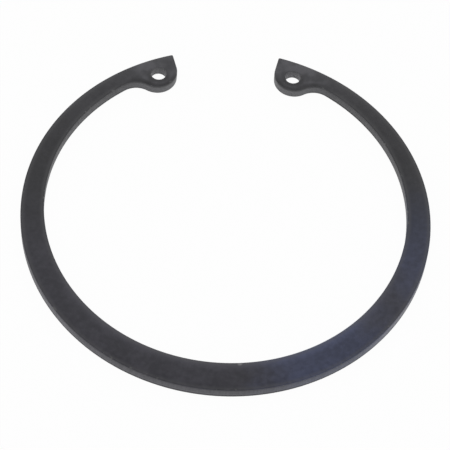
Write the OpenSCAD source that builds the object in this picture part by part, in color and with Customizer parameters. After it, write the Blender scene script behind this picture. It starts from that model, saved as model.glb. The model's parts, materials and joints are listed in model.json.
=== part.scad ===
// Internal retaining ring: a flat crescent of spring steel with two lugs that take the tips of pliers.
// It lies on z = 0 with its outer circle centred on the origin and its gap towards +Y.

/* [Ring] */
// Outer diameter of the ring when nothing squeezes it
free_d = 105.5; // [90:0.5:130]
// Thickness of the sheet that it is stamped from
thickness = 3; // [1.5:0.1:5]
// Radial width at the back, across from the gap
back_w = 8; // [5:0.1:11]
// Radial width that the crescent would taper to at the middle of the gap
end_w = 3.9; // [2:0.1:5]

/* [Lugs] */
// Angle from the middle of the gap to the middle line of each lug
lug_angle = 22; // [18:0.5:32]
// Radial height of a lug, from the outer circle to the crest of its nose
lug_h = 9.2; // [7.5:0.1:12]
// Radius of the rounded nose
nose_r = 5.3; // [4:0.1:6.5]
// Radius of the hollow where a lug runs out into the crescent
hollow_r = 5.3; // [2:0.1:8]
// Angle by which the end face leans away from the middle line of its lug
end_lean = 7.5; // [0:0.5:12]
// Radius of the outer corner of each end
corner_r = 0.4; // [0.2:0.1:1.5]

/* [Plier holes] */
// Diameter of the hole in each lug
hole_d = 4.1; // [2.5:0.1:5]
// Distance from the middle of a hole to the crest of its nose
hole_inset = 4.3; // [3.5:0.1:5.5]

/* [Hidden] */
$fn = 180;

// Radius of the outer circle
rim_r = free_d / 2;
// Radius of the inner circle, and how far its middle is set towards the gap
inner_r = rim_r - (back_w + end_w) / 2;
inner_shift = (back_w - end_w) / 2;
// Reach of the rough shapes, which the outer circle trims
rough_r = rim_r + 3;
// How far two outlines that touch run into each other, so that they cross at one clean corner
ease = 0.002;

// The points below are in a lug's own frame: its middle line runs up +Y and the gap is towards -X
inner_at = inner_shift * heading(-lug_angle);
nose_at = [0, rim_r - lug_h + nose_r];
hole_at = [0, rim_r - lug_h + hole_inset];
// The hollow touches the nose from outside and the inner circle from inside
hollow_at = crossing(nose_at, nose_r + hollow_r, inner_at, inner_r - hollow_r);
// Which way the end face looks, and the way up along it to the outer circle
face_out = [-cos(end_lean), -sin(end_lean)];
face_up = heading(-end_lean);
// The corner's round touches the end face and the outer circle from inside
corner_at = reach(nose_at + (nose_r - corner_r) * face_out, face_up, rim_r - corner_r + ease);
// The crescent ends under the lug, halfway between the middles of the nose and the hollow
crescent_end = lug_angle + bearing((nose_at + hollow_at) / 2 - inner_at);

// Unit vector that points a degrees clockwise from +Y
function heading(a) = [sin(a), cos(a)];

// Degrees clockwise from +Y at which v points
function bearing(v) = atan2(v[0], v[1]);

// The point ra from a and rb from b, on the left of the way from a to b
function crossing(a, ra, b, rb) =
    let (apart = norm(b - a), way = (b - a) / apart, along = (ra ^ 2 - rb ^ 2 + apart ^ 2) / (2 * apart))
    a + along * way + sqrt(ra ^ 2 - along ^ 2) * [-way[1], way[0]];

// The point r from the origin on the line that leaves a in the direction way
function reach(a, way, r) = a + (sqrt((a * way) ^ 2 - a * a + r ^ 2) - a * way) * way;

// The crescent between the outer circle and the inner one, open between the lugs
module crescent() {
    difference() {
        circle(rough_r);
        translate([0, inner_shift]) {
            circle(inner_r);
            polygon([[0, 0], 2 * rough_r * heading(-crescent_end), 2 * rough_r * heading(crescent_end)]);
        }
    }
}

// One lug: its nose and its corner round sit on a plate that ends where the hollow touches the crescent
module lug() {
    difference() {
        polygon([
            nose_at,
            nose_at + (nose_r - ease) * face_out,
            corner_at + (corner_r - ease) * face_out,
            corner_at,
            rough_r * heading(bearing(corner_at)),
            rough_r * heading(0),
            inner_at + rough_r * heading(bearing(hollow_at - inner_at)),
            hollow_at
        ]);
        translate(hollow_at) circle(hollow_r + ease);
    }
    translate(nose_at) circle(nose_r);
    translate(corner_at) circle(corner_r);
}

// Puts what is drawn about +Y at both ends of the ring
module both_ends() {
    for (side = [0, 1]) mirror([side, 0]) rotate(-lug_angle) children();
}

module ring() {
    color([0.25, 0.25, 0.27]) linear_extrude(thickness) difference() {
        intersection() {
            circle(rim_r);
            union() {
                crescent();
                both_ends() lug();
            }
        }
        both_ends() translate(hole_at) circle(d = hole_d);
    }
}

ring();
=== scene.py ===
"""Internal retaining ring of black phosphated spring steel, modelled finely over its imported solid.

Lengths are in millimetres until a mesh is made, which is in metres.
Angles are in degrees where a name says so.
"""

import json
import math

import bpy
import numpy as np
from mathutils import Matrix, Vector
from mathutils.geometry import delaunay_2d_cdt


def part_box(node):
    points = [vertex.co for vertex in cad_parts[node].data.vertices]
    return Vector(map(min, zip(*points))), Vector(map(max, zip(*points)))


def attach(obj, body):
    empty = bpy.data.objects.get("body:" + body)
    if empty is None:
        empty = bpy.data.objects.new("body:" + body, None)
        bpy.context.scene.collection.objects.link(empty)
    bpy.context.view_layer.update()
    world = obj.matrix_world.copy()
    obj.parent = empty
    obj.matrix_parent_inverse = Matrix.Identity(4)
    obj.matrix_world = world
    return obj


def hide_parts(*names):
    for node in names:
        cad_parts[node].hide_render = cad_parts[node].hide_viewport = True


MM = 0.001
MIRROR = Matrix(((-1, 0), (0, 1)))

# Radial width of the crescent at its back, and what it would taper to at the middle of the gap
BACK_WIDTH = 8.0
END_WIDTH = 3.9
# Each lug: its height from the outer circle to the crest of its nose, and its rounds
LUG_HEIGHT = 9.2
NOSE_RADIUS = 5.3
HOLLOW_RADIUS = 5.3
CORNER_RADIUS = 0.4
# Distance from the middle of a plier hole to the crest of its nose, and how far the end face leans out
HOLE_INSET = 4.3
END_LEAN_DEG = 7.5

# Stamping draws the upper face down in a shallow roll at its edges: its depth and how far it reaches in
EDGE_FALL = (0.08, 3.0)
HOLE_FALL = (0.03, 0.6)
# Rounds that tumbling leaves on the upper and the lower edges, of the outline and of the holes
EDGE_ROUNDS = (0.15, 0.12)
HOLE_ROUNDS = (0.10, 0.05)
ROUND_STEPS = 5
# Height of the line where the smooth sheared band meets the torn one, and how far the torn one leans in
SHEAR_LINE = 1.25
TORN_LEAN = 0.03

# Longest side of a mesh face along an outline, its largest turn, and the spacing of points inside a flat face
OUTLINE_STEP = 0.4
TURN_STEP_DEG = 6.0
FACE_STEP = 0.62
# Depths of the rows of square faces that run round a flat face before its inner points begin
BORDER_ROWS = (0.36, 0.25)
# Shares of the way down from the upper edge to the shear line, and on to the lower edge, that have a row
SHEARED_ROWS = (0.33, 0.67, 0.94)
TORN_ROWS = (0.12, 0.5)
# Points of a flat face that are nearer than this count as one, and only its outlines' inside is filled
SAME_POINT = 1e-6
INSIDE_ONLY = 1

# Colours: the faces' phosphate at its darkest and lightest, and the sheared and the torn band of the walls
FACE_DARK = (0.025, 0.025, 0.027)
FACE_LIGHT = (0.039, 0.039, 0.041)
SHEARED = (0.103, 0.103, 0.105)
TORN = (0.110, 0.110, 0.112)
# Colours: rubbed faces and painted sheen, rubbed walls, painted wall highlight, bare steel, the darkest tone
RUBBED_AND_SHEEN = (0.095, 0.095, 0.098)
WALL_RUBBED = (0.15, 0.15, 0.152)
WALL_HIGHLIGHT_PAINT = (0.20, 0.20, 0.203)
BARE = (0.42, 0.42, 0.42)
DEEPEST_DARK = (0.008, 0.008, 0.009)
# Noises: how far their spots are across, and their detail
BROAD = (9.0, 3.0)
FINE = (1.3, 4.0)
GRAIN = (0.16, 2.0)
SMUDGES = (3.5, 2.0)
FLECKS = (1.4, 1.0)
STREAKS = (0.3, 3.0)
WAVES = (1.1, 3.0)
# Nearly all of a noise lies in the first of these spans, and most of it in the second
NOISE_SPAN = (0.3, 0.7)
NOISE_CORE = (0.35, 0.65)

# In what follows, a fade is a pair: a mark has its full share at the first value and none at the second.
# A rise is the other way round.

# Walls: how heights are squashed so that streaks stand up, their shade, and how far the shear line waves
STREAK_SQUASH = 0.08
STREAK_SHADE = 0.35
LINE_WAVE = 0.5
# The torn band by height, and the painted shade at the foot of the walls
TORN_FADE = (SHEAR_LINE + 0.05, SHEAR_LINE + 0.45)
FOOT_SHADE = 0.9
FOOT_FADE = (0.4, 0.95)
# The burnished line between the bands: its share, its height, and its fade up and down from there
BURNISH = 0.6
BURNISH_LINE = SHEAR_LINE + 0.1
BURNISH_FADE = (0.05, 0.22)
# Stretches of the walls with a painted highlight: (middle in degrees from +X, half width, share)
PAINTED_WALL_HIGHLIGHTS = ((-36, 22, 0.75), (-147, 20, 0.3))
# How far from the middle their share is full, and their rise by height
HIGHLIGHT_CORE = 2.0
HIGHLIGHT_RISE = (0.5, 1.0)
# The shade under the upper edge: its share in general and round a nose, and its rise by height
UPPER_SHADE = 0.4
NOSE_SHADE = 0.85
UPPER_RISE = (2.0, 2.7)
# How much of it the plier holes keep, and its rise to the full by distance from their axes
HOLE_SHADE_SHARE = 0.5
PAST_HOLE_RISE = (2.2, 3.2)

# Lugs: most of their marks fade over these distances from the axis of the plier hole
LUG_FADE = (6.0, 14.0)
# Rubbing by hands: its share on faces and walls, how it varies in smudges, and its fade from the axis
LUG_RUB = 0.45
LUG_WALL_RUB = 0.85
SMUDGE_SHARES = (0.3, 1.7)
HANDLED_FADE = (5.0, 12.0)
# Painted shade along the inner edge of a lug's face: its share, its fade from the edge, and how soft its end
# is in Y
NOSE_PAINTED_SHADE = 0.7
NOSE_PAINTED_SHADE_FADE = (0.5, 1.6)
NOSE_PAINTED_SHADE_SPREAD = 1.5
# Rubbing of the plier holes' walls: its share, its fade into the metal, and how it thins out upwards
HOLE_RUB = 0.9
HOLE_RUB_FADE = (0.1, 0.3)
HOLE_RUB_LOW = 0.4
HOLE_RUB_AT_TOP = 0.1

# Faces: a darkening on both arms, and its rises by distance from the middle line and by Y
SIDE_DARKENING = 0.4
SIDE_DARKENING_X_RISE = (32.0, 44.0)
SIDE_DARKENING_Y_RISE = (-20.0, 5.0)
# A painted sheen along the inner edge at the front: its share, and its fades by radius, by Y and from the
# edge
INNER_SHEEN = 0.3
SHEEN_RADIUS_FADE = (46.0, 50.5)
SHEEN_Y_FADE = (-30.0, -12.0)
SHEEN_EDGE_FADE = (0.3, 3.2)
# A cool tint over the front, its shares at the back and on the walls, and the Y where it thins
COOL = (1.12, 1.08, 1.34)
COOL_AT_BACK = 0.35
COOL_WALL = 0.5
COOL_SPAN = (-15.0, 20.0)
# A bluish tint, and its share on the walls
BLUISH = (1.15, 1.42, 2.1)
BLUISH_WALL = 0.35
# Its zones: (middle in degrees from +X, half width, share), and how far from the middle that share is full
BLUISH_ZONES = ((-58, 31, 1.0), (-10, 27, 0.8))
BLUISH_CORE = 4.0
# How far the bounds of all such zones wander, in degrees
BEARING_WANDER = 4.0

# Wear and a painted sheen along the faces' edges: their share in general, right at the edge and on a lug
EDGE_WEAR_AND_SHEEN = 0.5
EDGE_WEAR_AND_SHEEN_AT_EDGE = 0.1
EDGE_WEAR_AND_SHEEN_AT_LUG = 0.1
# Its fade and its rise from the edge, and how much the fade varies
EDGE_WEAR_AND_SHEEN_FADE = (0.05, 1.6)
EDGE_WEAR_AND_SHEEN_RISE = (0.12, 0.5)
EDGE_WEAR_AND_SHEEN_WANDER = 0.25
# Light flecks near the edges: their share, the noise at which they show, and their fade from the edge
FLECK_RUB = 0.9
FLECK_RISE = (0.66, 0.70)
FLECK_FADE = (0.2, 0.7)
# A chip in the finish at the front of the inner edge: its place, its fade, how that varies, and its share
CHIP_AT = (3.4, -45.0, 3.0)
CHIP_FADE = (0.25, 0.7)
CHIP_WANDER = 0.15
CHIP_BARE = 0.35
# Roughness of faces and walls, how it varies, and the relief: its share of grain, its strength and its depth
FACE_ROUGH = 0.33
WALL_ROUGH = 0.45
ROUGH_WANDER = 0.05
GRAIN_SHARE = 0.4
RELIEF_STRENGTH = 0.5
RELIEF_DEPTH = 0.03

# The surround is white but for a dark strip overhead, with its middle, its two fades and the rise before it
BRIGHTEST = 1.0
DARKEST = 0.1
DARK_MIDDLE = 0.03
DARK_BESIDE = (0.05, 0.4)
DARK_BEHIND = (0.53, 0.78)
DARK_BEFORE = (-0.85, -0.5)
# The floor, in metres: half its side, and its height, just below the ring so that the two don't touch
FLOOR_HALF = 3.0
FLOOR_Z = -0.00002
# Its grey, and how much it glows by itself where the camera sees it and where metal mirrors it
FLOOR_GREY = 0.9
FLOOR_GLOW = 0.97
FLOOR_GLOSS = 0.5
# Soft lamps that look at the origin: (name, place in metres, side in metres, watts)
LAMPS = (("back_lamp", (0.12, 0.85, 0.85), 0.9, 1.2),)

# The camera: which way it lies from its aim, how it is turned about its own axis, and its distance
AZIMUTH_DEG = -4.276
ELEVATION_DEG = 56.007
TILT_DEG = 5.043
DISTANCE = 652.75
AIM = (-0.164, -1.778, 0)
# Its focal length and the width of its sensor, in millimetres, and the nearest that it sees, in metres
FOCAL_LENGTH = 202.737
SENSOR_WIDTH = 36
NEAREST_SEEN = 0.05


def heading(degrees):
    """Unit vector that points degrees clockwise from +Y."""
    a = math.radians(degrees)
    return Vector((math.sin(a), math.cos(a)))


def angle_of(v):
    """Angle of v anticlockwise from +X, in radians."""
    return math.atan2(v.y, v.x)


def crossing(a, ra, b, rb):
    """The point ra from a and rb from b, on the left of the way from a to b."""
    apart = (b - a).length
    way = (b - a) / apart
    along = (ra * ra - rb * rb + apart * apart) / (2 * apart)
    return a + along * way + math.sqrt(ra * ra - along * along) * Vector((-way.y, way.x))


def reach(a, way, r):
    """The point r from the origin on the line that leaves a in the direction way."""
    b = a.dot(way)
    return a + (math.sqrt(b * b - a.dot(a) + r * r) - b) * way


def mirrored(pairs):
    """(point, normal) pairs of the ring's other half, in the order that keeps the metal on the left."""
    return [(MIRROR @ p, MIRROR @ n) for p, n in reversed(pairs)]


class Arc:
    """A round stretch of outline from one angle to another, with the metal on its left.

    It is hollow if it runs clockwise.
    """

    def __init__(self, centre, radius, start, end):
        self.centre = centre
        self.radius = radius
        self.start = start
        self.end = end
        self.side = 1 if end > start else -1

    def points(self):
        """(point, normal out of the metal) along the arc, without its last one."""
        turn = self.end - self.start
        steps = abs(turn) * self.radius / OUTLINE_STEP
        count = math.ceil(max(steps, abs(turn) / math.radians(TURN_STEP_DEG)))
        angles = [self.start + turn * i / count for i in range(count)]
        ways = [Vector((math.cos(a), math.sin(a))) for a in angles]
        return [(self.centre + self.radius * w, self.side * w) for w in ways]

    def depth(self, x, y):
        """How deep points lie in the metal under this arc, or infinity where they lie beyond its ends."""
        dx = x - self.centre.x
        dy = y - self.centre.y
        low = min(self.start, self.end)
        turned = (np.arctan2(dy, dx) - low) % (2 * math.pi)
        inside = turned <= abs(self.end - self.start)
        return np.where(inside, self.side * (self.radius - np.hypot(dx, dy)), np.inf)


class Line:
    """A straight stretch of outline, with the metal on its left."""

    def __init__(self, start, end):
        self.start = start
        self.end = end
        self.way = (end - start).normalized()
        self.out = Vector((self.way.y, -self.way.x))

    def points(self):
        """(point, normal out of the metal) along the line, without its last one."""
        count = math.ceil((self.end - self.start).length / OUTLINE_STEP)
        return [(self.start.lerp(self.end, i / count), self.out) for i in range(count)]

    def depth(self, x, y):
        """How deep points lie in the metal under this line, or infinity where they lie beyond its ends."""
        dx = x - self.start.x
        dy = y - self.start.y
        along = dx * self.way.x + dy * self.way.y
        inside = (along >= 0) & (along <= (self.end - self.start).length)
        return np.where(inside, -(dx * self.out.x + dy * self.out.y), np.inf)


class Ring:
    """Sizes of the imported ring, read from the frame, and its outlines."""

    def __init__(self, record, box):
        mounts = {mount["name"]: mount for mount in record["mounts"]}
        hole = mounts["plier_hole_right"]
        self.rim = mounts["groove_rim"]["dims"]["r_mm"]
        self.thickness = (box[1].z - box[0].z) / MM
        self.hole_radius = hole["dims"]["r_mm"]
        self.hole = Vector(hole["pos_m"][:2]) / MM
        self.half = self.half_outline()
        self.hole_arc = Arc(self.hole, self.hole_radius, math.pi, -math.pi)

    def half_outline(self):
        """The stretches of the right half.

        They run from the back along the outer circle, round the lug and back along the inner circle.
        """
        origin = Vector((0, 0))
        back = -math.pi / 2
        lug_deg = math.degrees(math.atan2(self.hole.x, self.hole.y))
        inner_radius = self.rim - (BACK_WIDTH + END_WIDTH) / 2
        inner = Vector((0, (BACK_WIDTH - END_WIDTH) / 2))
        nose = (self.hole.length - HOLE_INSET + NOSE_RADIUS) * heading(lug_deg)
        hollow = crossing(nose, NOSE_RADIUS + HOLLOW_RADIUS, inner, inner_radius - HOLLOW_RADIUS)
        face_up = heading(lug_deg - END_LEAN_DEG)
        face_out = Vector((-face_up.y, face_up.x))
        corner = reach(nose + (NOSE_RADIUS - CORNER_RADIUS) * face_out, face_up, self.rim - CORNER_RADIUS)
        inner_end = angle_of(hollow - inner)
        hollow_start = angle_of(nose - hollow)
        return [
            Arc(origin, self.rim, back, angle_of(corner)),
            Arc(corner, CORNER_RADIUS, angle_of(corner), angle_of(face_out)),
            Line(corner + CORNER_RADIUS * face_out, nose + NOSE_RADIUS * face_out),
            Arc(nose, NOSE_RADIUS, angle_of(face_out), angle_of(hollow - nose) + 2 * math.pi),
            Arc(hollow, HOLLOW_RADIUS, hollow_start, inner_end),
            Arc(inner, inner_radius, inner_end, back),
        ]

    def outline(self):
        """(point, normal out of the metal) once round the ring, with the metal on the left."""
        right = [pair for stretch in self.half for pair in stretch.points()]
        last = self.half[-1]
        back = (last.centre + Vector((0, -last.radius)), Vector((0, 1)))
        return [*right, back, *mirrored(right[1:])]

    def hole_outline(self, side):
        """The same round the plier hole on side 1 or -1."""
        pairs = self.hole_arc.points()
        return pairs if side > 0 else mirrored(pairs)

    def depths(self, x, y):
        """How deep points lie in the metal from the outline and from the nearer hole. Negative is outside."""
        x = np.abs(x)
        under = np.array([stretch.depth(x, y) for stretch in self.half])
        nearest = np.abs(under).argmin(axis=0)
        edge = under[nearest, np.arange(len(x))]
        return edge, np.hypot(x - self.hole.x, y - self.hole.y) - self.hole_radius


def roll(depth, fall):
    """How far stamping has drawn the upper face down at this depth. fall is (its depth, its reach)."""
    return fall[0] * np.clip(1 - depth / fall[1], 0, 1) ** 3


def section(ring, fall, rounds):
    """Rows of points from the upper face, over the edge and down the wall to the lower face.

    fall is the roll of the upper face, and rounds has the radii of the upper and the lower edge.
    Each row is (depth from the edge, height, share of the wall's finish).
    """
    over, under = rounds
    upper = ring.thickness - float(roll(np.array(over), fall)) - over
    quarter = [math.radians(90 * i / ROUND_STEPS) for i in range(ROUND_STEPS + 1)]
    rows = [(d, ring.thickness - float(roll(np.array(d), fall)), 0) for d in BORDER_ROWS]
    rows += [(over * (1 - math.sin(a)), upper + over * math.cos(a), math.sin(a)) for a in quarter]
    rows += [(0, upper + (SHEAR_LINE - upper) * share, 1) for share in SHEARED_ROWS]
    rows += [(TORN_LEAN * share, SHEAR_LINE + (under - SHEAR_LINE) * share, 1) for share in TORN_ROWS]
    rows += [(TORN_LEAN + under * (1 - math.cos(a)), under * (1 - math.sin(a)), math.cos(a)) for a in quarter]
    return [*rows, (BORDER_ROWS[0], 0, 0)]


def face_points(ring):
    """Evenly spread points inside a flat face, in staggered rows round the ring, clear of its borders."""
    rows = []
    radii = np.arange(ring.rim - FACE_STEP, ring.rim - LUG_HEIGHT, -FACE_STEP * math.sqrt(3) / 2)
    for i, radius in enumerate(radii):
        count = int(2 * math.pi * ring.rim / FACE_STEP)
        angles = (np.arange(count) + i % 2 / 2) * 2 * math.pi / count
        rows.append(np.stack([radius * np.cos(angles), radius * np.sin(angles)], 1))
    spots = np.concatenate(rows)
    edge, hole = ring.depths(spots[:, 0], spots[:, 1])
    return spots[np.minimum(edge, hole) > BORDER_ROWS[0] + FACE_STEP / 2]


def triangles(loops, inner):
    """Triangles that fill the first loop and leave the others open.

    Their corners are indices into the loops' points and then the inner ones.
    """
    spots = [p for loop in loops for p in loop] + [Vector(p) for p in inner]
    outlines = []
    start = 0
    for i, loop in enumerate(loops):
        corners = list(range(start, start + len(loop)))
        outlines.append(corners if i == 0 else corners[::-1])
        start += len(loop)
    _, _, faces, sources, _, owners = delaunay_2d_cdt(spots, [], outlines, INSIDE_ONLY, SAME_POINT, True)
    in_first = [face for face, owner in zip(faces, owners) if list(owner) == [0]]
    return [[sources[c][0] for c in face] for face in in_first]


class Shell:
    """The ring's surface as it is made: points, their distances from an edge and wall shares, and faces."""

    def __init__(self, thickness):
        self.thickness = thickness
        self.points = []
        self.edges = []
        self.walls = []
        self.faces = []

    def wrap(self, pairs, rows):
        """Runs a section's rows along an outline. Returns the indices of its first and of its last row."""
        count = len(pairs)
        start = len(self.points)
        for depth, height, wall in rows:
            self.points += [(*(p - depth * n), height) for p, n in pairs]
            self.edges += [max(depth, min(height, self.thickness - height))] * count
            self.walls += [wall] * count
        for a in range(start, len(self.points) - count, count):
            b = a + count
            self.faces += [(a + i, b + i, b + (i + 1) % count, a + (i + 1) % count) for i in range(count)]
        return range(start, start + count), range(len(self.points) - count, len(self.points))

    def fill(self, borders, inner, heights, depths, facing_down=False):
        """Fills the first border, but for the others, with a face that has inner points at these heights."""
        outlines = [[Vector(self.points[i][:2]) for i in border] for border in borders]
        indices = [i for border in borders for i in border]
        indices += range(len(self.points), len(self.points) + len(inner))
        self.points += [(x, y, z) for (x, y), z in zip(inner, heights)]
        self.edges += list(depths)
        self.walls += [0] * len(inner)
        for corners in triangles(outlines, inner):
            face = [indices[c] for c in corners]
            self.faces.append(face[::-1] if facing_down else face)


def ring_mesh(ring):
    """A closed mesh of the ring, whose attributes are each point's distance from an edge and wall share."""
    shell = Shell(ring.thickness)
    loops = [(ring.outline(), EDGE_FALL, EDGE_ROUNDS)]
    loops += [(ring.hole_outline(side), HOLE_FALL, HOLE_ROUNDS) for side in (1, -1)]
    upper, lower = zip(*[shell.wrap(pairs, section(ring, fall, rounds)) for pairs, fall, rounds in loops])
    inner = face_points(ring)
    edge, hole = ring.depths(inner[:, 0], inner[:, 1])
    depths = np.minimum(edge, hole)
    drops = roll(edge, EDGE_FALL) + roll(hole, HOLE_FALL)
    shell.fill(upper, inner, ring.thickness - drops, depths)
    shell.fill(lower, inner, 0 * drops, depths, facing_down=True)
    mesh = bpy.data.meshes.new("retaining_ring")
    mesh.from_pydata([Vector(p) * MM for p in shell.points], [], shell.faces)
    mesh.attributes.new("edge_mm", "FLOAT", "POINT").data.foreach_set("value", shell.edges)
    mesh.attributes.new("wall", "FLOAT", "POINT").data.foreach_set("value", shell.walls)
    mesh.shade_smooth()
    mesh.update()
    return mesh


class Graph:
    """Shader nodes, made one at a time. An input takes a number, a colour or another node's output."""

    def __init__(self, tree):
        self.tree = tree
        tree.nodes.clear()

    def feed(self, socket, value):
        """Links value to the socket if it is an output, and otherwise sets it there."""
        if isinstance(value, bpy.types.NodeSocket):
            self.tree.links.new(value, socket)
        else:
            socket.default_value = value

    def node(self, kind, inputs=(), **settings):
        """A node of this kind, with its settings and then its inputs set."""
        made = self.tree.nodes.new("ShaderNode" + kind)
        for name, value in settings.items():
            setattr(made, name, value)
        for key, value in dict(inputs).items():
            self.feed(made.inputs[key], value)
        return made

    def math(self, operation, a, b=0.0):
        """A number worked out from one or two others."""
        return self.node("Math", {0: a, 1: b}, operation=operation).outputs[0]

    def times(self, first, *others):
        """The product of numbers."""
        for other in others:
            first = self.math("MULTIPLY", first, other)
        return first

    def mix(self, share, a, b):
        """The number that lies this share of the way from a to b."""
        return self.node("Mix", {0: share, 2: a, 3: b}).outputs[0]

    def ramp(self, value, span, levels=(0.0, 1.0)):
        """value, from one end of span to the other, carried smoothly over to the levels."""
        low, high = span
        start, end = levels
        numbers = {"Value": value, "From Min": low, "From Max": high, "To Min": start, "To Max": end}
        return self.node("MapRange", numbers, interpolation_type="SMOOTHSTEP").outputs[0]

    def fade(self, value, span, share=1.0):
        """share where value is at the start of span, down to 0 at its end."""
        return self.ramp(value, span, (share, 0.0))

    def seen(self):
        """1 where the camera looks, straight or through glass, and otherwise 0."""
        rays = self.node("LightPath").outputs
        return self.math("MAXIMUM", rays["Is Camera Ray"], rays["Is Transmission Ray"])

    def away(self, value, middle):
        """How far value is from middle."""
        return self.math("ABSOLUTE", self.math("SUBTRACT", value, middle))

    def noise(self, place, grain, detail):
        """Noise from 0 to 1 whose spots are about grain across, in the place's units."""
        return self.node("TexNoise", {"Vector": place, "Scale": 1 / grain, "Detail": detail}).outputs[0]

    def sway(self, noise, size):
        """A number from -size to size that follows a noise."""
        return self.ramp(noise, NOISE_SPAN, (-size, size))

    def zones(self, value, listed, core):
        """The sum of what listed (middle, half width, share) give value. Their share is full up to core."""
        total = 0.0
        for middle, half, share in listed:
            total = self.math("ADD", total, self.fade(self.away(value, middle), (core, half), share))
        return total

    def blend(self, share, a, b, **settings):
        """The colour that lies this share of the way from a to b."""
        return self.node("Mix", {0: share, 6: a, 7: b}, data_type="RGBA", **settings).outputs[2]

    def paint(self, share, colour, over):
        """colour with this share of the colour over on it."""
        return self.blend(share, colour, (*over, 1))

    def tint(self, share, colour, cast):
        """colour with this share of it multiplied by cast."""
        return self.blend(share, colour, (*cast, 1), blend_type="MULTIPLY")


class Spot:
    """What the finish is worked out from: where a point lies on the ring, and what noises say there."""

    def __init__(self, g, ring):
        self.ring = ring
        in_metres = g.node("TexCoord").outputs["Object"]
        self.place = g.node("VectorMath", {0: in_metres, "Scale": 1 / MM}, operation="SCALE").outputs[0]
        self.edge = g.node("Attribute", attribute_name="edge_mm").outputs["Fac"]
        self.wall = g.node("Attribute", attribute_name="wall").outputs["Fac"]
        self.face = g.math("SUBTRACT", 1.0, self.wall)
        self.x, self.y, self.z = g.node("SeparateXYZ", {0: self.place}).outputs
        self.aside = g.math("ABSOLUTE", self.x)
        beside = g.node("CombineXYZ", {"X": self.aside, "Y": self.y}).outputs[0]
        hole = (*ring.hole, 0)
        self.apart = g.node("VectorMath", {0: beside, 1: hole}, operation="DISTANCE").outputs["Value"]
        self.broad = g.noise(self.place, *BROAD)
        self.fine = g.noise(self.place, *FINE)
        self.grain = g.noise(self.place, *GRAIN)
        squash = (1, 1, STREAK_SQUASH)
        self.squashed = g.node("VectorMath", {0: self.place, 1: squash}, operation="MULTIPLY").outputs[0]
        self.streaks = g.noise(self.squashed, *STREAKS)
        straight = g.times(g.math("ARCTAN2", self.y, self.x), 180 / math.pi)
        self.bearing = g.math("ADD", straight, g.sway(self.broad, BEARING_WANDER))


def face_colour(g, spot):
    """Phosphate in soft clouds."""
    cloud = g.mix(0.5, spot.fine, spot.broad)
    return g.blend(g.ramp(cloud, NOISE_CORE), (*FACE_DARK, 1), (*FACE_LIGHT, 1))


def wall_colour(g, spot):
    """The sheared band over the torn one, streaked, with a burnished line between, painted shade at the foot
    and painted highlights.
    """
    height = g.math("ADD", spot.z, g.times(g.noise(spot.squashed, *WAVES), LINE_WAVE))
    colour = g.paint(g.fade(height, TORN_FADE), (*SHEARED, 1), TORN)
    colour = g.paint(g.ramp(spot.streaks, NOISE_SPAN, (0.0, STREAK_SHADE)), colour, FACE_DARK)
    # Painted shade at the foot of the walls
    colour = g.paint(g.fade(spot.z, FOOT_FADE, FOOT_SHADE), colour, FACE_DARK)
    colour = g.paint(g.fade(g.away(height, BURNISH_LINE), BURNISH_FADE, BURNISH), colour, WALL_RUBBED)
    # Painted highlights on stretches of the walls
    painted_highlight = g.zones(spot.bearing, PAINTED_WALL_HIGHLIGHTS, HIGHLIGHT_CORE)
    return g.paint(g.times(painted_highlight, g.ramp(spot.z, HIGHLIGHT_RISE)), colour, WALL_HIGHLIGHT_PAINT)


def handled(g, spot, colour):
    """Hands and pliers have rubbed the lugs, their faces in smudges and their walls evenly."""
    smudge = g.ramp(g.noise(spot.place, *SMUDGES), NOISE_CORE, SMUDGE_SHARES)
    share = g.mix(spot.wall, g.times(smudge, LUG_RUB), LUG_WALL_RUB)
    rubbed = g.paint(spot.wall, (*RUBBED_AND_SHEEN, 1), WALL_RUBBED)
    return g.blend(g.times(share, g.fade(spot.apart, HANDLED_FADE)), colour, rubbed)


def shaded_under_edge(g, spot, colour):
    """The walls are darker just under the upper edge, most of all round a nose."""
    strength = g.ramp(spot.apart, LUG_FADE, (NOSE_SHADE, UPPER_SHADE))
    in_hole = g.ramp(spot.apart, PAST_HOLE_RISE, (HOLE_SHADE_SHARE, 1.0))
    share = g.times(spot.wall, strength, in_hole, g.ramp(spot.z, UPPER_RISE))
    return g.paint(share, colour, FACE_DARK)


def painted_shade_at_nose(g, spot, colour):
    """Painted shade lies along the inner edge of each lug's face."""
    middle = spot.ring.hole.y
    inward = g.fade(spot.y, (middle - NOSE_PAINTED_SHADE_SPREAD, middle + NOSE_PAINTED_SHADE_SPREAD))
    on_lug_face = g.math("SUBTRACT", g.fade(spot.apart, LUG_FADE), spot.wall)
    share = g.times(inward, g.fade(spot.edge, NOSE_PAINTED_SHADE_FADE, NOSE_PAINTED_SHADE), on_lug_face)
    return g.paint(share, colour, DEEPEST_DARK)


def rubbed_by_pliers(g, spot, colour):
    """Plier tips have rubbed the walls of their holes nearly bare, most of all low down."""
    start, end = HOLE_RUB_FADE
    radius = spot.ring.hole_radius
    in_hole = g.fade(spot.apart, (radius + start, radius + end), HOLE_RUB)
    low = g.ramp(spot.z, (HOLE_RUB_LOW, spot.ring.thickness), (1.0, HOLE_RUB_AT_TOP))
    return g.paint(g.times(spot.wall, in_hole, low), colour, BARE)


def darker_at_sides(g, spot, colour):
    """The faces of both arms are darker."""
    share = g.times(g.ramp(spot.aside, SIDE_DARKENING_X_RISE), g.ramp(spot.y, SIDE_DARKENING_Y_RISE, (0.0, SIDE_DARKENING)))
    return g.paint(g.times(share, spot.face), colour, DEEPEST_DARK)


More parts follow.
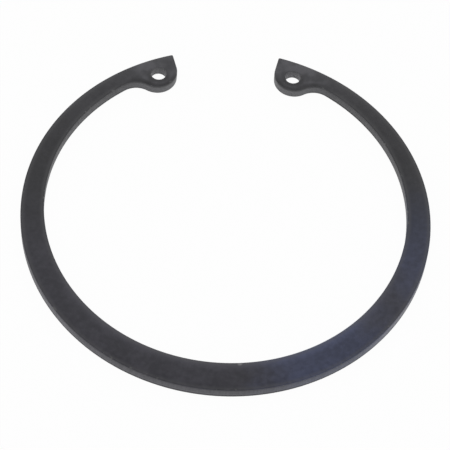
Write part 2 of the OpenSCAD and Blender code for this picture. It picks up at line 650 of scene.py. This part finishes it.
def sheen_inside(g, spot, colour):
    """A painted sheen: the front of the face is lighter along its inner edge."""
    radius = g.node("VectorMath", {0: spot.place}, operation="LENGTH").outputs["Value"]
    inward = g.times(g.fade(radius, SHEEN_RADIUS_FADE), g.fade(spot.y, SHEEN_Y_FADE))
    share = g.times(inward, g.fade(spot.edge, SHEEN_EDGE_FADE, INNER_SHEEN), spot.face)
    return g.paint(share, colour, RUBBED_AND_SHEEN)


def cool_and_bluish(g, spot, colour):
    """The colour is tinted cool at the front, and bluish in a few zones."""
    cool = g.times(g.ramp(spot.y, COOL_SPAN, (1.0, COOL_AT_BACK)), g.mix(spot.wall, 1.0, COOL_WALL))
    bluish = g.times(g.zones(spot.bearing, BLUISH_ZONES, BLUISH_CORE), g.mix(spot.wall, 1.0, BLUISH_WALL))
    return g.tint(bluish, g.tint(cool, colour, COOL), BLUISH)


def worn_and_sheened_edges(g, spot, colour):
    """Tumbling wear and a painted sheen lighten the faces towards their edges, but less right at them and on
    the lugs.
    """
    varied = g.math("ADD", spot.edge, g.times(spot.fine, EDGE_WEAR_AND_SHEEN_WANDER))
    from_edge = g.ramp(spot.edge, EDGE_WEAR_AND_SHEEN_RISE, (EDGE_WEAR_AND_SHEEN_AT_EDGE, 1.0))
    from_lug = g.ramp(spot.apart, LUG_FADE, (EDGE_WEAR_AND_SHEEN_AT_LUG, 1.0))
    share = g.times(g.fade(varied, EDGE_WEAR_AND_SHEEN_FADE, EDGE_WEAR_AND_SHEEN), from_edge, from_lug, spot.face)
    return g.paint(share, colour, RUBBED_AND_SHEEN)


def flecked(g, spot, colour):
    """Light flecks lie near the edges."""
    share = g.ramp(g.noise(spot.place, *FLECKS), FLECK_RISE, (0.0, FLECK_RUB))
    return g.paint(g.times(share, g.fade(spot.edge, FLECK_FADE)), colour, RUBBED_AND_SHEEN)


def chipped(g, spot, colour):
    """One chip at the inner edge shows some bare steel."""
    from_chip = g.node("VectorMath", {0: spot.place, 1: CHIP_AT}, operation="DISTANCE").outputs["Value"]
    from_chip = g.math("ADD", from_chip, g.sway(spot.fine, CHIP_WANDER))
    return g.paint(g.fade(from_chip, CHIP_FADE, CHIP_BARE), colour, BARE)


# The finish's marks, painted shade, sheen and highlights among them, in the order in which one lies over the
# other
MARKS = (
    handled,
    shaded_under_edge,
    painted_shade_at_nose,
    rubbed_by_pliers,
    darker_at_sides,
    sheen_inside,
    cool_and_bluish,
    worn_and_sheened_edges,
    flecked,
    chipped,
)


def phosphated_steel(ring):
    """Black phosphated and oiled spring steel, matt and marked by stamping, handling and wear, with painted
    shade, sheen and highlights.
    """
    material = bpy.data.materials.new("phosphated_steel")
    material.use_nodes = True
    g = Graph(material.node_tree)
    spot = Spot(g, ring)
    colour = g.blend(spot.wall, face_colour(g, spot), wall_colour(g, spot))
    for mark in MARKS:
        colour = mark(g, spot, colour)
    rough = g.math("ADD", g.mix(spot.wall, FACE_ROUGH, WALL_ROUGH), g.sway(spot.fine, ROUGH_WANDER))
    relief = g.mix(spot.wall, g.mix(GRAIN_SHARE, spot.fine, spot.grain), spot.streaks)
    bump = g.node("Bump", {"Height": relief, "Strength": RELIEF_STRENGTH, "Distance": RELIEF_DEPTH * MM})
    shader = g.node("BsdfPrincipled", {"Base Color": colour, "Roughness": rough, "Normal": bump.outputs[0]})
    g.node("OutputMaterial", {"Surface": shader.outputs[0]})
    return material


def floor_material():
    """Glows white for the camera, and less so in metal, but keeps the ring's soft shadow."""
    material = bpy.data.materials.new("white_floor")
    material.use_nodes = True
    g = Graph(material.node_tree)
    in_metal = g.times(g.node("LightPath").outputs["Is Glossy Ray"], FLOOR_GLOSS)
    glow = g.math("MAXIMUM", g.times(g.seen(), FLOOR_GLOW), in_metal)
    plain = g.node("BsdfDiffuse", {"Color": (FLOOR_GREY, FLOOR_GREY, FLOOR_GREY, 1)})
    bright = g.node("Emission", {"Color": (1, 1, 1, 1), "Strength": 1.0})
    mixed = g.node("MixShader", {0: glow, 1: plain.outputs[0], 2: bright.outputs[0]})
    g.node("OutputMaterial", {"Surface": mixed.outputs[0]})
    return material


def white_floor():
    """The white floor that the ring lies on."""
    corners = [(x * FLOOR_HALF, y * FLOOR_HALF, 0) for x, y in ((-1, -1), (1, -1), (1, 1), (-1, 1))]
    mesh = bpy.data.meshes.new("floor")
    mesh.from_pydata(corners, [], [(0, 1, 2, 3)])
    mesh.materials.append(floor_material())
    floor = bpy.data.objects.new("floor", mesh)
    floor.location.z = FLOOR_Z
    bpy.context.scene.collection.objects.link(floor)


def surround():
    """A white surround with a dark strip overhead, which the camera itself sees as plain white."""
    world = bpy.data.worlds.new("surround")
    bpy.context.scene.world = world
    world.use_nodes = True
    g = Graph(world.node_tree)
    x, y, _ = g.node("SeparateXYZ", {0: g.node("TexCoord").outputs["Generated"]}).outputs
    beside = g.fade(g.away(x, DARK_MIDDLE), DARK_BESIDE)
    shade = g.times(beside, g.fade(y, DARK_BEHIND), g.ramp(y, DARK_BEFORE))
    level = g.mix(shade, BRIGHTEST, DARKEST)
    strength = g.mix(g.seen(), level, 1.0)
    g.node("OutputWorld", {"Surface": g.node("Background", {"Strength": strength}).outputs[0]})


def lamps():
    """Soft lamps that look at the ring."""
    for name, place, side, watts in LAMPS:
        lamp = bpy.data.lights.new(name, "AREA")
        lamp.size = side
        lamp.energy = watts
        holder = bpy.data.objects.new(name, lamp)
        holder.location = place
        holder.rotation_mode = "QUATERNION"
        holder.rotation_quaternion = (-Vector(place)).to_track_quat("-Z", "Y")
        bpy.context.scene.collection.objects.link(holder)


def camera():
    """Looks at the ring as the photograph does: from the front, well above it, tilted a little."""
    azimuth = math.radians(AZIMUTH_DEG)
    elevation = math.radians(ELEVATION_DEG)
    tilt = math.radians(TILT_DEG)
    back = Vector((
        math.sin(azimuth) * math.cos(elevation),
        -math.cos(azimuth) * math.cos(elevation),
        math.sin(elevation),
    ))
    right = Vector((math.cos(azimuth), math.sin(azimuth), 0))
    up = back.cross(right)
    across = math.cos(tilt) * right + math.sin(tilt) * up
    upward = math.cos(tilt) * up - math.sin(tilt) * right
    lens = bpy.data.cameras.new("camera")
    lens.sensor_width = SENSOR_WIDTH
    lens.lens = FOCAL_LENGTH
    lens.clip_start = NEAREST_SEEN
    holder = bpy.data.objects.new("camera", lens)
    turn = Matrix((across, upward, back)).transposed()
    holder.matrix_world = Matrix.Translation(Vector(AIM) * MM + DISTANCE * MM * back) @ turn.to_4x4()
    bpy.context.scene.collection.objects.link(holder)
    bpy.context.scene.camera = holder


def dress(frame):
    """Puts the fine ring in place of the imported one."""
    ring = Ring(frame["record"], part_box("ring"))
    mesh = ring_mesh(ring)
    mesh.materials.append(phosphated_steel(ring))
    piece = bpy.data.objects.new("retaining_ring", mesh)
    bpy.context.scene.collection.objects.link(piece)
    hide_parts("ring")
    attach(piece, "root")


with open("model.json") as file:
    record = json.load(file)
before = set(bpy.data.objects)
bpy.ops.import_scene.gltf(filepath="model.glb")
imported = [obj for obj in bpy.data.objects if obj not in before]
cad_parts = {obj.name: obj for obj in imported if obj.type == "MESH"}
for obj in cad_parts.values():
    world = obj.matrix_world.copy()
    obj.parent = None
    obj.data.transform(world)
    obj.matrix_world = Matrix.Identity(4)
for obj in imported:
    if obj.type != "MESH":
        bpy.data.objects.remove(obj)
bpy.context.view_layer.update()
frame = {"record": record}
bpy.context.scene.view_settings.view_transform = "Standard"
dress(frame)
white_floor()
surround()
lamps()
camera()
